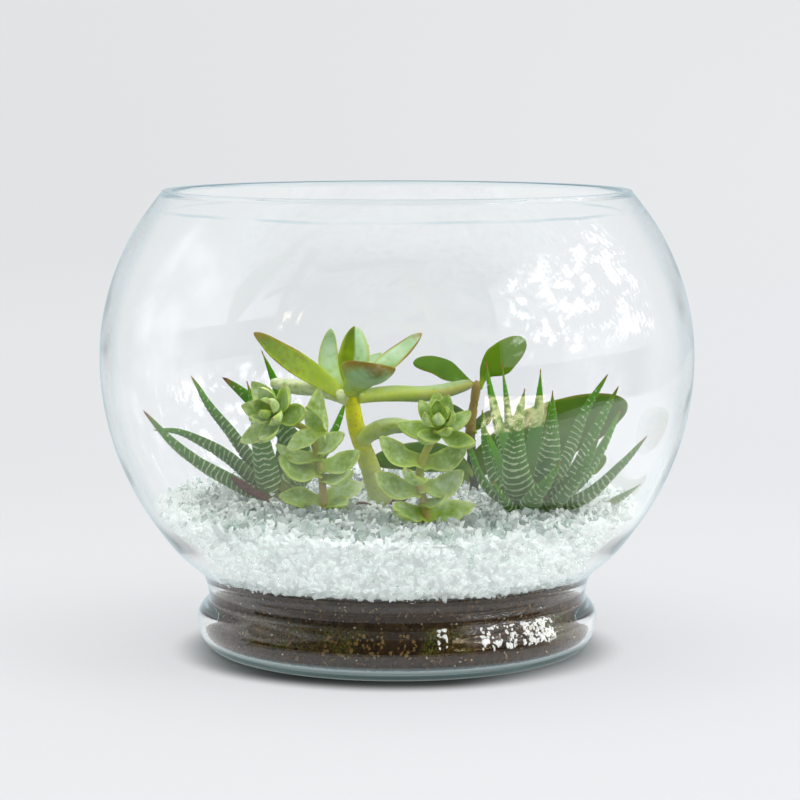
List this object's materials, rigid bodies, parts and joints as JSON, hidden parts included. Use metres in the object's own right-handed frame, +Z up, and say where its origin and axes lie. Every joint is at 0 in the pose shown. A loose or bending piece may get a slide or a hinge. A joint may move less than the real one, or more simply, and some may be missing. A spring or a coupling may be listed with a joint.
{
  "type": "glass plant terrarium",
  "caption": "Round footed glass bowl with an open ground rim, filled with dark soil, a layer of crushed glass and a group of small succulent plants.",
  "frame": {"origin": "middle of the bowl's flat underside, on the surface it stands on", "axes": "+Z up along the bowl's axis, -Y towards the front where the low sedums stand, +X to the right seen from the front"},
  "size_m": [0.278, 0.278, 0.216],
  "materials": {
    "clear_glass": "clear blown glass with a faint blue-green edge, ground flat rim",
    "potting_soil": "dark moist potting soil with bark and pale grains",
    "crushed_glass": "tumbled crushed clear glass, pale aqua where it is deep",
    "dry_crown": "dry brownish crown of a rosette",
    "woody_stem": "brown-green stem",
    "fleshy_stem": "fleshy olive-green stem with brown leaf scars",
    "thin_stem": "thin tan to pink stem",
    "striped_leaf": "dark green leaf with raised white cross bands and a dry orange-brown tip",
    "stonecrop_leaf": "smooth waxy blue-green leaf, yellow-green at its foot, brown-orange along its margin",
    "sedum_leaf": "waxy grey-green leaf with a lighter yellow-green edge",
    "glossy_leaf": "glossy vivid green leaf, dark on its back"
  },
  "bodies": {
    "root": {"crushed_glass_bed": "crushed_glass", "front_left_sedum_head": "sedum_leaf", "front_left_sedum_leaf_1": "sedum_leaf", "front_left_sedum_leaf_2": "sedum_leaf", "front_left_sedum_leaf_3": "sedum_leaf", "front_left_sedum_leaf_4": "sedum_leaf", "front_left_sedum_leaf_5": "sedum_leaf", "front_left_sedum_leaf_6": "sedum_leaf", "front_left_sedum_leaf_7": "sedum_leaf", "front_left_sedum_stem": "thin_stem", "front_right_sedum_head": "sedum_leaf", "front_right_sedum_leaf_1": "sedum_leaf", "front_right_sedum_leaf_2": "sedum_leaf", "front_right_sedum_leaf_3": "sedum_leaf", "front_right_sedum_leaf_4": "sedum_leaf", "front_right_sedum_leaf_5": "sedum_leaf", "front_right_sedum_leaf_6": "sedum_leaf", "front_right_sedum_leaf_7": "sedum_leaf", "front_right_sedum_stem": "thin_stem", "glass_bowl": "clear_glass", "jade_leaf_left": "glossy_leaf", "jade_leaf_right": "glossy_leaf", "jade_stem": "woody_stem", "left_haworthia_crown": "dry_crown", "left_haworthia_leaf_1": "striped_leaf", "left_haworthia_leaf_2": "striped_leaf", "left_haworthia_leaf_3": "striped_leaf", "left_haworthia_leaf_4": "striped_leaf", "left_haworthia_leaf_5": "striped_leaf", "left_haworthia_leaf_6": "striped_leaf", "left_haworthia_leaf_7": "striped_leaf", "left_haworthia_leaf_8": "striped_leaf", "paddle_leaf": "glossy_leaf", "right_haworthia_crown": "dry_crown", "right_haworthia_leaf_1": "striped_leaf", "right_haworthia_leaf_10": "striped_leaf", "right_haworthia_leaf_11": "striped_leaf", "right_haworthia_leaf_12": "striped_leaf", "right_haworthia_leaf_13": "striped_leaf", "right_haworthia_leaf_2": "striped_leaf", "right_haworthia_leaf_3": "striped_leaf", "right_haworthia_leaf_4": "striped_leaf", "right_haworthia_leaf_5": "striped_leaf", "right_haworthia_leaf_6": "striped_leaf", "right_haworthia_leaf_7": "striped_leaf", "right_haworthia_leaf_8": "striped_leaf", "right_haworthia_leaf_9": "striped_leaf", "soil": "potting_soil", "tall_stonecrop_leaf_back_left": "stonecrop_leaf", "tall_stonecrop_leaf_front": "stonecrop_leaf", "tall_stonecrop_leaf_front_right": "stonecrop_leaf", "tall_stonecrop_leaf_left": "stonecrop_leaf", "tall_stonecrop_leaf_low_left": "stonecrop_leaf", "tall_stonecrop_leaf_low_right": "stonecrop_leaf", "tall_stonecrop_leaf_right": "stonecrop_leaf", "tall_stonecrop_leaf_short": "stonecrop_leaf", "tall_stonecrop_leaf_upright": "stonecrop_leaf", "tall_stonecrop_stem": "fleshy_stem"}
  },
  "joints": []
}
